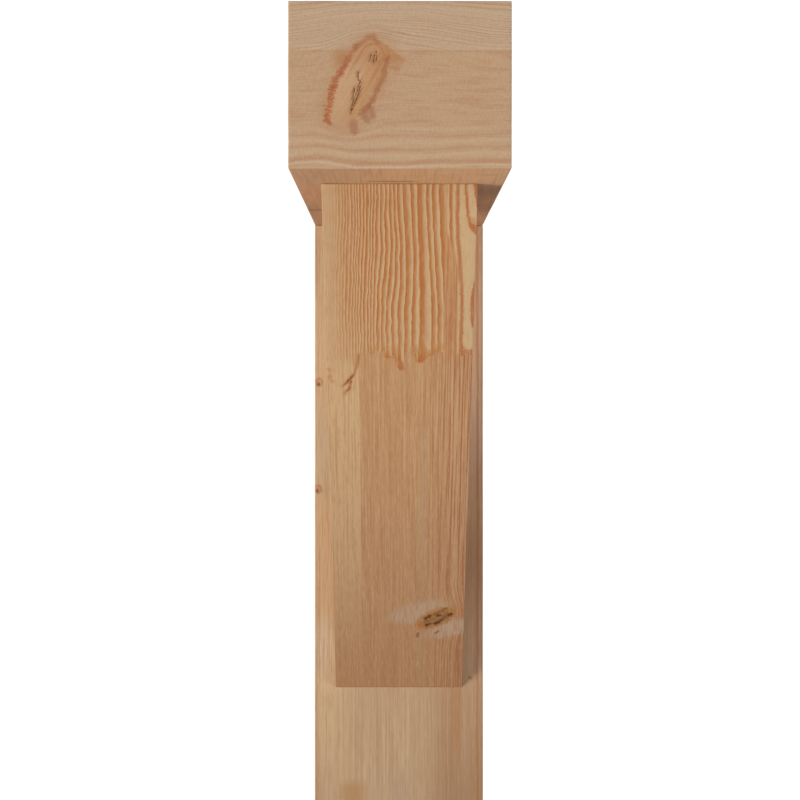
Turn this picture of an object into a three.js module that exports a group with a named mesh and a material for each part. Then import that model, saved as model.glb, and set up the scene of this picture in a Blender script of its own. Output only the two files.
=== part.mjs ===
// Block bracket of heavy sawn timber, in millimetres, +Z up.
// A leg stands flat against a wall, a beam runs out over the top of it, and a
// straight brace props the beam from the leg. Nothing else joins the three.
// The wall is the plane y = 0 and the bracket reaches out towards -Y. The origin
// lies on the wall face, half way up and in the middle of the width.

import * as THREE from 'three';

// Beam and leg, two pieces of the same width
const timberWidth = 203.2; // X, 8 in
const beamHeight = 152.4; // Z, 6 in
const legThickness = 152.4; // Y, 6 in, from the wall to the leg's front face

// Whole bracket
const bracketReach = 863.6; // Y, 34 in, from the wall to the beam's free end
const bracketHeight = 863.6; // Z, 34 in, from the leg's foot to the beam's top

// Brace
const braceWidth = 152.4; // X, 6 in, centred on the wider beam and leg
const braceThickness = 152.4; // 6 in, square to its outer face
const beamOverhang = 152.4; // beam in front of the brace's outer face
const legTail = 152.4; // leg below the brace's outer face

// Finish and fit
const arris = 1.2; // rounding of the sawn corners
const arrisSteps = 2;
const jointGap = 0.3; // between a cut end and the face it bears on

const topZ = bracketHeight / 2;
const footZ = -bracketHeight / 2;
const undersideZ = topZ - beamHeight;
const legFrontY = -legThickness;
const beamEndY = -bracketReach;

const beamColour = 0xbb9b78;
const legColour = 0xb8916a;
const braceColour = 0xb5875c;

// Side view of a square-cut timber, from its corners as (y, z), each one rounded.
function roundedOutline(corners, radius) {
  const outline = new THREE.Shape();
  corners.forEach((corner, i) => {
    const before = corners[(i + corners.length - 1) % corners.length];
    const after = corners[(i + 1) % corners.length];
    const entry = corner.clone().add(before.clone().sub(corner).setLength(radius));
    const exit = corner.clone().add(after.clone().sub(corner).setLength(radius));
    if (i === 0) outline.moveTo(entry.x, entry.y);
    else outline.lineTo(entry.x, entry.y);
    outline.quadraticCurveTo(corner.x, corner.y, exit.x, exit.y);
  });
  outline.closePath();
  return outline;
}

// One timber: its side view carried across the width, with the long corners of
// both side faces eased by the arris.
function timber(name, outline, width, colour) {
  const geometry = new THREE.ExtrudeGeometry(outline, {
    depth: width - 2 * arris,
    steps: 1,
    curveSegments: arrisSteps,
    bevelEnabled: true,
    bevelThickness: arris,
    bevelSize: arris,
    bevelOffset: -arris,
    bevelSegments: arrisSteps,
  });
  geometry.translate(0, 0, arris - width / 2);
  const material = new THREE.MeshStandardMaterial({ color: colour, roughness: 0.7, metalness: 0 });
  const mesh = new THREE.Mesh(geometry, material);
  mesh.name = name;
  return mesh;
}

function blockOutline(lowY, highY, lowZ, highZ) {
  const corners = [
    new THREE.Vector2(lowY, lowZ),
    new THREE.Vector2(highY, lowZ),
    new THREE.Vector2(highY, highZ),
    new THREE.Vector2(lowY, highZ),
  ];
  return roundedOutline(corners, arris);
}

// The brace lies between two parallel lines, its outer and inner faces, and is
// cut off by the beam's underside and the leg's front face, less the gap. Its cut
// ends bear on those faces, so their corners stay sharp.
function braceOutline() {
  const head = new THREE.Vector2(beamEndY + beamOverhang, undersideZ);
  const foot = new THREE.Vector2(legFrontY, footZ + legTail);
  const along = foot.clone().sub(head).normalize();
  const inward = new THREE.Vector2(-along.y, along.x);
  const innerHead = head.clone().addScaledVector(inward, braceThickness);
  const headCutZ = undersideZ - jointGap;
  const footCutY = legFrontY - jointGap;
  const atHead = (point) => {
    const run = (headCutZ - point.y) / along.y;
    return point.clone().addScaledVector(along, run);
  };
  const atFoot = (point) => {
    const run = (footCutY - point.x) / along.x;
    return point.clone().addScaledVector(along, run);
  };
  return new THREE.Shape([atHead(head), atFoot(head), atFoot(innerHead), atHead(innerHead)]);
}

const beamOutline = blockOutline(beamEndY, 0, undersideZ, topZ);
const legOutline = blockOutline(legFrontY, 0, footZ, undersideZ - jointGap);
const beam = timber('top_beam', beamOutline, timberWidth, beamColour);
const leg = timber('wall_leg', legOutline, timberWidth, legColour);
const brace = timber('diagonal_brace', braceOutline(), braceWidth, braceColour);

// The outlines were drawn with y and z as the page's two directions and the
// width as its depth: this turn brings them to +Y, +Z and +X.
const group = new THREE.Group();
group.name = 'block_bracket';
group.rotation.set(Math.PI / 2, Math.PI / 2, 0);
group.add(beam, leg, brace);

export default group;
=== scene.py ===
# Block bracket of three softwood timbers: a beam, a leg and a diagonal brace.
# The scene is in metres. Timber shapes and wood figure are worked out in millimetres.
import math

import bpy
import numpy as np
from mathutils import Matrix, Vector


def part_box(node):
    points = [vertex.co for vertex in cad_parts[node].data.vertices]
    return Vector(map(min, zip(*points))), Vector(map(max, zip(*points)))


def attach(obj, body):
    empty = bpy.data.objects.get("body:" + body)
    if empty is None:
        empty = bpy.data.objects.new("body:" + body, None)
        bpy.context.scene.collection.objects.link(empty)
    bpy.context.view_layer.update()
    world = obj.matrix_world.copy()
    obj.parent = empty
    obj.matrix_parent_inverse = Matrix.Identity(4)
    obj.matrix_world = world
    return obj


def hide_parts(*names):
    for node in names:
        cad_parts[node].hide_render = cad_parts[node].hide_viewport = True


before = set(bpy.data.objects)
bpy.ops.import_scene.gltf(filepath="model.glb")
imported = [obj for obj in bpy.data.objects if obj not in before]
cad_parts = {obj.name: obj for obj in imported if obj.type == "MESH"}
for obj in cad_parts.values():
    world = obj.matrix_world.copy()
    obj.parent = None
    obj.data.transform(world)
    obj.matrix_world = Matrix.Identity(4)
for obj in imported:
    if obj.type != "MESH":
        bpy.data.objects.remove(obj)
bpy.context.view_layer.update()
metre = 1000.0  # millimetres


def boxOf(node):
    # the two far corners of a node's box, in millimetres
    low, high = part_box(node)
    return np.array(low) * metre, np.array(high) * metre


beamLow, beamHigh = boxOf("top_beam")
legLow, legHigh = boxOf("wall_leg")
braceLow, braceHigh = boxOf("diagonal_brace")
print("frame loaded: beam", beamLow.round(1), beamHigh.round(1))


# Camera

photoView = {
    "size": 800.0,  # pixels, both ways
    "vanishing": (395.85, 395.6),  # where the level view line meets the picture, in pixels
    "focal": 2356.6,  # pixels
    "sensor": 36.0,
    "beamEndDistance": 2138.2,
    "aside": -3.7,  # of the bracket's middle plane
    "height": 73.5,  # above the bracket's mid-height
    "farClip": 100.0,  # metres
}


def makeCamera(view):
    # level, looking square at the bracket: the shift puts the vanishing point where the photo has it
    data = bpy.data.cameras.new("photo camera")
    data.sensor_width = view["sensor"]
    data.lens = view["focal"] / view["size"] * view["sensor"]
    data.shift_x = 0.5 - view["vanishing"][0] / view["size"]
    data.shift_y = view["vanishing"][1] / view["size"] - 0.5
    data.clip_end = view["farClip"]
    camera = bpy.data.objects.new("photo camera", data)
    camera.location = (
        view["aside"] / metre,
        (beamLow[1] - view["beamEndDistance"]) / metre,
        view["height"] / metre,
    )
    camera.rotation_euler = (math.pi / 2, 0.0, 0.0)
    bpy.context.scene.collection.objects.link(camera)
    bpy.context.scene.camera = camera


makeCamera(photoView)
bpy.context.scene.view_settings.view_transform = "Standard"
print("camera placed")


# Fields: the same formulas colour the wood, as shader nodes, and shape it, as arrays


class Field:
    # a number at every point of a surface: one output of the shader's nodes
    def __init__(self, wood, socket):
        self.wood = wood
        self.socket = socket

    def __add__(self, other):
        return self.wood.calc("ADD", self, other)

    def __sub__(self, other):
        return self.wood.calc("SUBTRACT", self, other)

    def __rsub__(self, other):
        return self.wood.calc("SUBTRACT", other, self)

    def __mul__(self, other):
        return self.wood.calc("MULTIPLY", self, other)

    def __truediv__(self, other):
        return self.wood.calc("DIVIDE", self, other)

    def __pow__(self, power):
        return self.wood.calc("POWER", self, power)

    def __abs__(self):
        return self.wood.calc("ABSOLUTE", self)

    def __neg__(self):
        return self.wood.calc("MULTIPLY", self, -1.0)

    __radd__ = __add__
    __rmul__ = __mul__


def root(value):
    # the square root of each number
    return value.wood.calc("SQRT", value) if isinstance(value, Field) else np.sqrt(value)


def least(first, second):
    # the smaller of two numbers at each point
    if isinstance(first, Field):
        return first.wood.calc("MINIMUM", first, second)
    return np.minimum(first, second)


def most(first, second):
    # the larger of two numbers at each point
    if isinstance(first, Field):
        return first.wood.calc("MAXIMUM", first, second)
    return np.maximum(first, second)


def rise(value, low, high):
    # 0 before low, 1 beyond high, a soft step between; low may lie above high
    if isinstance(value, Field):
        return value.wood.softStep(value, low, high)
    share = np.clip((value - low) / (high - low), 0.0, 1.0)
    return share * share * (3.0 - 2.0 * share)


def hill(value, middle, flank):
    # 1 at the middle, softly down to 0 one flank away on each side
    return rise(abs(value - middle), flank, 0.0)


def lineDistance(u, v, start, end):
    # distance from the point (u, v) to the straight line from start to end
    runU = end[0] - start[0]
    runV = end[1] - start[1]
    square = runU * runU + runV * runV
    share = ((u - start[0]) * runU + (v - start[1]) * runV) / square
    share = most(least(share, 1.0), 0.0)
    return root((u - start[0] - share * runU) ** 2.0 + (v - start[1] - share * runV) ** 2.0)


woodShader = {
    "noiseMiddle": 0.5,  # of Blender's noise, which is moved and spread to about -1 to 1
    "noiseSpread": 3.0,
    "ringDrop": 0.9,  # share of a ring where its late wood starts to end
    "specular": 0.3,
}


def stripes(value, rows):
    # the sum of hills, one for each row of middle, flank and height
    total = 0.0
    for middle, flank, height in rows:
        total = hill(value, middle, flank) * height + total
    return total


def nearestOf(distances):
    # the smallest of several distances
    nearest = distances[0]
    for distance in distances[1:]:
        nearest = least(nearest, distance)
    return nearest


def nearestLine(u, v, line):
    # distance from the point (u, v) to a bent line, the nearest of its straight pieces
    return nearestOf([lineDistance(u, v, start, end) for start, end in zip(line, line[1:])])


class Wood:
    # builds one procedural material on Object coordinates, with x, y and z in millimetres
    def __init__(self, name):
        self.material = bpy.data.materials.new(name)
        self.material.use_nodes = True
        self.nodes = self.material.node_tree.nodes
        self.links = self.material.node_tree.links
        self.nodes.clear()
        place = self.nodes.new("ShaderNodeTexCoord")
        split = self.nodes.new("ShaderNodeSeparateXYZ")
        self.links.new(place.outputs["Object"], split.inputs[0])
        self.x, self.y, self.z = [Field(self, out) * metre for out in split.outputs]

    def plug(self, socket, value):
        if isinstance(value, Field):
            self.links.new(value.socket, socket)
        else:
            socket.default_value = value

    def calc(self, operation, *values):
        node = self.nodes.new("ShaderNodeMath")
        node.operation = operation
        for socket, value in zip(node.inputs, values):
            self.plug(socket, value)
        return Field(self, node.outputs[0])

    def softStep(self, value, low, high):
        node = self.nodes.new("ShaderNodeMapRange")
        node.interpolation_type = "SMOOTHSTEP"
        self.plug(node.inputs["Value"], value)
        self.plug(node.inputs["From Min"], low)
        self.plug(node.inputs["From Max"], high)
        return Field(self, node.outputs["Result"])

    def noise(self, x, y, z, detail=2.0, roughness=0.5):
        # smooth and random, about -1 to 1, with waves about one unit of x, y and z long
        spread = self.nodes.new("ShaderNodeCombineXYZ")
        for socket, value in zip(spread.inputs, (x, y, z)):
            self.plug(socket, value)
        node = self.nodes.new("ShaderNodeTexNoise")
        node.inputs["Scale"].default_value = 1.0
        node.inputs["Detail"].default_value = detail
        node.inputs["Roughness"].default_value = roughness
        self.links.new(spread.outputs[0], node.inputs["Vector"])
        return (Field(self, node.outputs[0]) - woodShader["noiseMiddle"]) * woodShader["noiseSpread"]

    def ring(self, phase, start=0.25, full=0.8):
        # dark late wood in each growth ring: it comes slowly and ends at once
        part = self.calc("FRACT", phase)
        return rise(part, start, full) * rise(part, 1.0, woodShader["ringDrop"])

    def mix(self, share, first, second):
        # the first colour where the share is 0, the second where it is 1
        node = self.nodes.new("ShaderNodeMix")
        node.data_type = "RGBA"
        self.plug(node.inputs[0], share)
        self.plug(node.inputs[6], first)
        self.plug(node.inputs[7], second)
        return Field(self, node.outputs[2])

    def finish(self, colour, height, roughness):
        # height in millimetres stands proud of the surface as a bump
        bump = self.nodes.new("ShaderNodeBump")
        bump.inputs["Strength"].default_value = 1.0
        bump.inputs["Distance"].default_value = 1.0 / metre
        self.plug(bump.inputs["Height"], height)
        shader = self.nodes.new("ShaderNodeBsdfPrincipled")
        shader.inputs["Specular IOR Level"].default_value = woodShader["specular"]
        self.plug(shader.inputs["Base Color"], colour)
        self.plug(shader.inputs["Roughness"], roughness)
        self.links.new(bump.outputs[0], shader.inputs["Normal"])
        output = self.nodes.new("ShaderNodeOutputMaterial")
        self.links.new(shader.outputs[0], output.inputs["Surface"])
        return self.material


def colour(red, green, blue):
    # a colour as seen on a screen, 0 to 255, to the shader's linear values
    seen = np.array([red, green, blue]) / 255.0
    linear = np.where(seen <= 0.04045, seen / 12.92, ((seen + 0.055) / 1.055) ** 2.4)
    return (*linear.tolist(), 1.0)


# Surfaces

cornerAngles = (45.0, 34.0, 22.0, 11.0, 0.0)  # degrees round a corner, for the lattice lines in it
rippleCount = 7
rippleStretch = (0.6, 1.6)  # shortest and longest wave, as shares of the length asked for


def gridLines(length, spacing, closer, arris):
    # places of the lattice lines along one edge: evenly spaced, closer over the stretches given as
    # (from, to, spacing), and closest in the two rounded corners
    corner = arris * (1.0 - np.tan(np.radians(cornerAngles)))
    stops = [arris]
    gaps = []
    for start, end, fine in closer:
        stops += [start, end]
        gaps += [spacing, fine]
    stops.append(length - arris)
    gaps.append(spacing)
    runs = [
        np.linspace(low, high, max(1, round((high - low) / gap)), endpoint=False)
        for low, high, gap in zip(stops, stops[1:], gaps)
    ]
    return np.concatenate([corner, np.concatenate(runs)[1:], length - corner[::-1]])


def boxLattice(lines):
    # the surface of a lattice block, given its lines along the three edges: all six sides as
    # grids that share their rims, returned as points and as four-sided faces that look outwards
    counts = [len(line) - 1 for line in lines]
    corners = []
    for axis in range(3):
        a, b = (axis + 1) % 3, (axis + 2) % 3
        u, v = np.meshgrid(np.arange(counts[a]), np.arange(counts[b]), indexing="ij")
        for side in (0, 1):
            turn = [(0, 0), (1, 0), (1, 1), (0, 1)][:: 1 if side else -1]
            quad = np.zeros(u.shape + (4, 3), int)
            quad[..., axis] = side * counts[axis]
            quad[..., a] = np.stack([u + du for du, dv in turn], -1)
            quad[..., b] = np.stack([v + dv for du, dv in turn], -1)
            corners.append(quad.reshape(-1, 4, 3))
    corners = np.concatenate(corners)
    flat = corners.reshape(-1, 3)
    key = (flat[:, 0] * (counts[1] + 1) + flat[:, 1]) * (counts[2] + 1) + flat[:, 2]
    _, first, where = np.unique(key, return_index=True, return_inverse=True)
    steps = flat[first]
    points = np.stack([lines[axis][steps[:, axis]] for axis in range(3)], -1)
    return points, where.reshape(-1, 4)


def eased(points, size, arris, rounded, bearing=None):
    # corners rounded along the axes named: a point is pulled onto a block smaller by the arris
    # all round, then pushed back out by the arris. Returns that block's point and the way out.
    # The far end of the bearing axis butts against another timber and stays sharp: across such an
    # end a point's way out is shorter by its share of the arris, so that no two points meet.
    inner = points.copy()
    for axis in rounded:
        far = size[axis] if axis == bearing else size[axis] - arris
        inner[:, axis] = np.clip(points[:, axis], arris, far)
    out = points - inner
    reach = np.linalg.norm(out, axis=1, keepdims=True)
    share = np.abs(out).max(axis=1, keepdims=True) / arris
    return inner, out / np.maximum(reach, 1e-9) * share


def ripples(points, lengths, seed):
    # gentle random waves, about -1 to 1: a sum of sines, each in its own direction, with the
    # wave lengths given along the three axes
    rng = np.random.default_rng(seed)
    total = np.zeros(len(points))
    for _ in range(rippleCount):
        way = rng.normal(size=3)
        way = way / np.linalg.norm(way) / np.array(lengths) * rng.uniform(*rippleStretch)
        total += np.sin(points @ way * 2 * math.pi + rng.uniform(0, 2 * math.pi))
    return total / math.sqrt(rippleCount)


def makePiece(name, points, faces, material):
    # a smooth-shaded object from points in millimetres, with its place in its mesh
    mesh = bpy.data.meshes.new(name)
    mesh.from_pydata((points / metre).tolist(), [], faces.tolist())
    mesh.shade_smooth()
    mesh.update()
    mesh.materials.append(material)
    piece = bpy.data.objects.new(name, mesh)
    bpy.context.scene.collection.objects.link(piece)
    print("made", name, "with", len(mesh.loop_triangles), "triangles")
    return piece


def makeBlock(name, low, high, sizes, sunk, material):
    # a square-cut timber. sunk(points) says how far each point lies below the sawn surface
    size = high - low
    lines = [
        gridLines(size[axis], sizes["spacing"][axis], sizes["closer"][axis], sizes["arris"])
        for axis in range(3)
    ]
    points, faces = boxLattice(lines)
    inner, out = eased(points, size, sizes["arris"], (0, 1, 2), sizes["bearing"])
    depth = np.maximum(sunk(low + inner + out * sizes["arris"]), 0.0)
    return makePiece(name, low + inner + out * (sizes["arris"] - depth[:, None]), faces, material)


# Beam

beamTimber = {
    "arris": 1.2,  # rounding of the corners
    "bearing": None,  # axis whose far end butts against another timber
    "spacing": (2.6, 12.0, 2.6),  # of the mesh's lines, along x, y and z
    "closer": ([(30.0, 96.0, 0.9)], [], [(32.0, 126.0, 0.9)]),  # round the knot: from, to, spacing
    "sawWaves": 0.08,  # depth
    "waveLengths": (60.0, 240.0, 45.0),
    "waveSeed": 11,
    "roughness": 0.58,
    "barkEdge": 107.6,  # height of the sapwood's edge above the underside
    "layer": 2.2,  # thickness of a growth ring
    "pith": (22.0, -64.0),  # of the arcs on the end at the wall: x, and height above the underside
    "endLayer": 5.2,  # thickness of a ring there
    # stripes of the free end: level of the middle, flank and strength
    "edgeLines": ((147.5, 1.2, 0.4), (152.0, 1.6, 0.5)),
    "creams": ((35.0, 4.0, 0.25), (23.4, 5.5, 0.35), (11.0, 5.0, 0.42), (0.8, 2.0, 0.65)),
    "bands": ((16.5, 2.4, 0.26), (4.4, 3.0, 0.42), (29.2, 1.6, 0.22)),
    "redStreaks": (  # of the underside: two ends of each as x and length, its flank and strength
        ((-26.0, 128.0), (12.0, 128.0), 10.0, 1.0),
        ((-97.0, 480.0), (-86.0, 476.0), 26.0, 0.8),
        ((79.5, 61.0), (88.0, 61.0), 10.0, 0.5),
    ),
    "paleFleck": ((38.0, 46.0), (52.0, 38.0)),
    "sap": colour(194, 166, 136),
    "sapLine": colour(168, 126, 88),
    "heart": colour(191, 157, 123),
    "heartDark": colour(178, 134, 97),
    "cream": colour(203, 176, 146),
    "streak": colour(174, 120, 82),
    "side": colour(190, 148, 108),
    "under": colour(194, 145, 103),
    # painted light: the underside's lighter tone towards its middle and right
    "underPaintedLight": colour(210, 158, 110),
    "underRed": colour(150, 86, 50),
    # painted shadow of the brace on the underside
    "underPaintedShadow": colour(132, 92, 64),
}

beamKnot = {
    "middle": (-38.4, 78.6),  # x, and height above the underside
    "tilt": math.radians(29.0),  # of its long axis, from upright towards the right
    "half": 28.0,  # length of its straight axis, each way
    "radius": 14.5,
    "body": colour(198, 158, 117),
    "warm": colour(189, 137, 88),
    "top": colour(184, 128, 84),
    "vein": colour(160, 102, 58),
    "rust": colour(168, 82, 40),
    "brown": colour(160, 96, 54),
    "halo": colour(176, 122, 78),
    "stain": colour(154, 96, 64),
    "crack": colour(84, 42, 16),
    "strand": colour(132, 74, 34),
    "cracks": (
        ((-38.0, 88.2), (-37.2, 80.4), (-34.6, 78.5)),
        ((-35.5, 76.5), (-37.6, 68.4), (-40.6, 60.4), (-43.2, 53.2)),
        ((-41.3, 72.6), (-42.6, 61.0), (-44.5, 50.6)),
        ((-36.2, 78.0), (-39.6, 68.7), (-41.6, 62.3)),
        ((-27.4, 98.6), (-26.0, 103.4)),
        ((-24.2, 97.3), (-22.9, 103.4)),
        ((-21.4, 98.0), (-21.0, 106.5)),
    ),
    "crackDepth": 0.6,
    "grooveDepth": 0.25,
    "leftRim": (
        (-39.7, 110.5),
        (-46.9, 99.5),
        (-57.5, 80.4),
        (-62.5, 68.5),
        (-64.3, 57.1),
        (-66.5, 50.6),
        (-64.9, 41.5),
    ),
    "topRim": ((-40.7, 109.5), (-31.0, 117.6), (-24.8, 119.3), (-18.6, 114.4)),
    "rightRim": ((-10.8, 101.2), (-14.1, 88.2), (-17.3, 79.1), (-21.2, 70.0), (-25.7, 61.0), (-30.9, 53.8)),
    "fan": ((-12.6, 110.5), (-3.0, 101.2), (7.3, 97.3), (15.1, 94.7)),
    "fanRoot": ((-9.5, 102.0), (-1.0, 96.0)),
    "lowFan": ((-10.6, 93.0), (-1.8, 89.5)),
    "stains": (  # two ends of each and its half width
        ((-34.6, 50.6), (-29.0, 44.1), 1.8),
        ((-42.4, 41.0), (-41.3, 34.0), 2.2),
        ((-27.5, 57.0), (-24.6, 47.0), 1.4),
    ),
}


def knotPlace(x, height):
    # along and across the knot from its middle, and the distance outside its rounded outline
    knot = beamKnot
    right = x - knot["middle"][0]
    up = height - knot["middle"][1]
    along = right * math.sin(knot["tilt"]) + up * math.cos(knot["tilt"])
    across = right * math.cos(knot["tilt"]) - up * math.sin(knot["tilt"])
    beyond = most(abs(along) - knot["half"], 0.0)
    return along, across, root(beyond**2.0 + across**2.0) - knot["radius"]


def beamCracks(x, height):
    # distance to the nearest of the knot's drying cracks
    return nearestOf([nearestLine(x, height, line) for line in beamKnot["cracks"]])


def beamSunk(points):
    # saw waves, the knot's cracks, and the groove where the knot meets the wood around it
    x, y, z = points.T
    height = z - beamLow[2]
    _, _, outside = knotPlace(x, height)
    front = rise(y, beamLow[1] + 3.0, beamLow[1] + 0.5)
    crack = beamKnot["crackDepth"] * rise(beamCracks(x, height), 1.1, 0.1)
    groove = beamKnot["grooveDepth"] * hill(outside, 1.0, 3.5)
    waves = ripples(points, beamTimber["waveLengths"], beamTimber["waveSeed"])
    return beamTimber["sawWaves"] * (1.0 + waves) + front * (crack + groove)


def beamWood():
    # rings are layers of one level, bent over the knot, and each tone is mixed in by a share from
    # 0 to 1. Places are in mm: x, height above the underside, and length back from the free end.
    tones = beamTimber
    knot = beamKnot
    wood = Wood("beam wood")
    x = wood.x
    length = wood.y - beamLow[1]
    height = wood.z - beamLow[2]
    end = rise(length, 2.2, 1.2)  # 1 on the free end

    # the grain climbs over the knot and dips under it
    along, across, outside = knotPlace(x, height)
    over = hill(x, -8.0, 96.0) * hill(height, 120.0, 52.0) * 8.5
    under = hill(x, -78.0, 44.0) * hill(height, 8.0, 34.0) * -5.5
    beside = hill(x, -38.0, 60.0) * (rise(height, 20.0, 120.0) * 16.0 - 8.0) * rise(outside, 30.0, 0.0)
    swell = (over - under + beside) * rise(length, 160.0, 10.0)
    wander = wood.noise(x / 60.0, length / 420.0, height / 22.0) * 2.0
    curve = x**2.0 / 2600.0 * rise(height, 40.0, 110.0)
    curve = curve - rise(x, -20.0, 110.0) * rise(height, 50.0, 5.0) * 4.5
    level = height - swell + wander + length * 0.02 + curve
    uneven = wood.noise(level / 6.0, x / 200.0, length / 900.0) * 1.3
    rings = wood.ring(level / tones["layer"] + uneven, 0.4, 0.95)
    threads = wood.noise(x / 46.0, length / 160.0, level / 0.8, 2.0, 0.6)
    thread = rise(threads, 0.0, 0.6)
    mottle = wood.noise(x / 42.0, length / 300.0, level / 5.0, 3.0, 0.6)
    reds = wood.noise(x / 55.0, length / 120.0, level / 1.7 + 40.0, 2.0)

    # upright fuzz of the cut fibres on the end, long fibres on the sides
    fuzz = wood.noise(x / 1.9, length / 40.0, height / 4.0, 3.0, 0.7)
    fibre = wood.noise(x / 2.0, length / 90.0, height / 2.0, 3.0, 0.7)

    # sapwood above a straight edge that wanders along the sides, heartwood below it
    edgeWander = wood.noise(x / 90.0, length / 260.0, 12.0) * rise(length, 0.0, 120.0) * 9.0
    sapShare = rise(height + x * 0.003 + edgeWander, tones["barkEdge"] - 0.4, tones["barkEdge"] + 0.4)
    lined = hill(height, 124.0, 20.0) * 0.46 + 0.3
    sap = wood.mix(rings * lined + thread * 0.26, tones["sap"], tones["sapLine"])
    sap = wood.mix(stripes(level, tones["edgeLines"]), sap, tones["streak"])
    heart = wood.mix(rise(mottle, -0.25, 0.7) * 0.55, tones["heart"], tones["heartDark"])
    heart = wood.mix(rise(reds, 0.28, 0.62) * 0.34 + thread * 0.12 + rings * 0.1, heart, tones["streak"])
    heart = wood.mix(stripes(level, tones["creams"]), heart, tones["cream"])
    heart = wood.mix(stripes(level, tones["bands"]), heart, tones["streak"])
    face = wood.mix(sapShare, heart, sap)
    boundary = rise(height, tones["barkEdge"] - 3.0, tones["barkEdge"]) * (1.0 - sapShare)
    face = wood.mix(boundary * rise(x, -10.0, 0.0) * 0.3, face, tones["streak"])
    sides = wood.mix(rings * 0.3 + rise(mottle, -0.3, 0.8) * 0.35, tones["side"], tones["streak"])
    sapSide = wood.mix(rings * 0.3 + rise(mottle, -0.3, 0.8) * 0.3, tones["sap"], tones["sapLine"])
    sides = wood.mix(sapShare * 0.8, sides, sapSide)

    # underside: browner, with painted light towards the middle and right, painted shade deep on the right
    # and the brace's painted shadow beside it, and a few reddish streaks
    bottom = rise(height, 2.2, 1.0)
    soft = wood.noise(x / 5.0, length / 120.0, 3.0, 3.0, 0.6)
    # painted light: the underside lighter towards its middle and right
    underTone = wood.mix(rise(x, -70.0, 10.0), tones["under"], tones["underPaintedLight"])
    underLines = wood.noise(x / 2.6, length / 260.0, 5.0, 2.0, 0.6)
    underTone = wood.mix(rise(soft, -0.3, 0.8) * 0.3, underTone, tones["underRed"])
    underTone = wood.mix(rise(underLines, 0.0, 0.5) * 0.2, underTone, tones["underRed"])
    redStreak = 0.0
    for start, finish, flank, strength in tones["redStreaks"]:
        redStreak = hill(lineDistance(x, length, start, finish), 0.0, flank) * strength + redStreak
    # painted shade: deep on the right, where the brace keeps light off the underside, it is darker and
    # redder
    deepRightShade = rise(x, 40.0, 84.0) * rise(length, 250.0, 480.0) * 0.4
    underTone = wood.mix(least(redStreak * 0.85 + deepRightShade, 1.0), underTone, tones["underRed"])
    # painted shadow of the brace's head on the underside, right of the brace
    paintedBraceShadow = rise(x, 66.0, 80.0) * hill(length, 245.0, 150.0)
    underTone = wood.mix(paintedBraceShadow * 0.6, underTone, tones["underPaintedShadow"])
    fleck = hill(lineDistance(x, length, *tones["paleFleck"]), 0.0, 7.0)
    underTone = wood.mix(fleck * 0.6, underTone, tones["cream"])
    sides = wood.mix(bottom, sides, underTone)

    # sawn across at the wall: arcs of the growth rings, and fine rays across them
    sawn = rise(length, beamHigh[1] - beamLow[1] - 2.2, beamHigh[1] - beamLow[1] - 1.0)
    aside, above = x - tones["pith"][0], height - tones["pith"][1]
    fromPith = root(aside**2.0 + above**2.0) + wood.noise(x / 40.0, 0.0, height / 40.0) * 6.0
    arcs = wood.ring(fromPith / tones["endLayer"] + wood.noise(fromPith / 14.0, 0.0, 8.0), 0.2, 0.9)
    rays = wood.noise(fromPith / 30.0, 0.0, aside / above * 60.0, 2.0, 0.6)
    sawnTone = wood.mix(arcs * 0.7 + rise(rays, 0.0, 0.5) * 0.16, tones["side"], tones["streak"])
    sides = wood.mix(sawn, sides, sawnTone)
    face = wood.mix(end, sides, face)

    # fibres catch the light a little differently from one to the next
    fibres = fuzz * end + fibre * (1.0 - end)
    fuzzy = hill(x, 10.0, 26.0) * hill(height, 90.0, 14.0) * end * 0.2 + 0.22
    face = wood.mix(rise(fibres, -0.1, 0.5) * fuzzy, face, tones["streak"])
    face = wood.mix(rise(fibres, 0.0, -0.5) * 0.2, face, tones["cream"])

    # the knot in the free end: a pale body between rusty rims, whose fibres fray outwards
    ragged = wood.noise(x / 2.2, 0.0, height / 2.2, 3.0, 0.65)
    frayed = wood.noise(x / 6.5, 2.0, height / 1.7, 2.0, 0.6)
    patchy = wood.noise(x / 7.0, 4.0, height / 7.0, 2.0)
    bottomFade = rise(along, -46.0, -20.0)
    inside = rise(outside + ragged * 2.0, 2.2, -2.2) * (bottomFade * 0.75 + 0.15)
    veins = wood.noise(across / 1.2, 0.0, along / 24.0, 2.0, 0.6)
    body = wood.mix(rise(across + ragged * 5.0, -3.0, 9.0) * 0.7, knot["body"], knot["warm"])
    body = wood.mix(rise(along + ragged * 6.0, 4.0, 24.0) * 0.6, body, knot["top"])
    body = wood.mix(rise(veins, 0.0, 0.45) * 0.26, body, knot["vein"])
    left = rise(nearestLine(x, height, knot["leftRim"]) + frayed * 4.0 + patchy * 1.6, 4.4, 1.0)
    left = left * (rise(height, 108.0, 82.0) * 0.45 + 0.5)
    top = rise(nearestLine(x, height, knot["topRim"]) + ragged * 2.4 + patchy * 2.6, 4.4, 0.6)
    right = rise(nearestLine(x, height, knot["rightRim"]) + ragged * 2.8 + patchy * 2.0, 4.6, 0.8)
    rim = most(top * 0.75, right * 0.9)
    flecked = rise(ragged, -0.5, 0.4) * 0.45 + 0.5
    halo = rise(outside + ragged * 3.0, 17.0, 1.0) * 0.3
    shoulder = hill(x, -53.0, 14.0) * hill(height, 101.0, 15.0) * 0.7
    fanFade = rise(x, 18.0, -8.0)
    fan = rise(nearestLine(x, height, knot["fan"]) + frayed * 2.0, 3.4, 0.6) * fanFade
    fan = fan + rise(nearestLine(x, height, knot["lowFan"]) + frayed * 2.0, 3.0, 0.4) * 0.7
    fan = fan + rise(lineDistance(x, height, *knot["fanRoot"]) + frayed * 3.0, 8.5, 1.0) * 0.6
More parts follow.
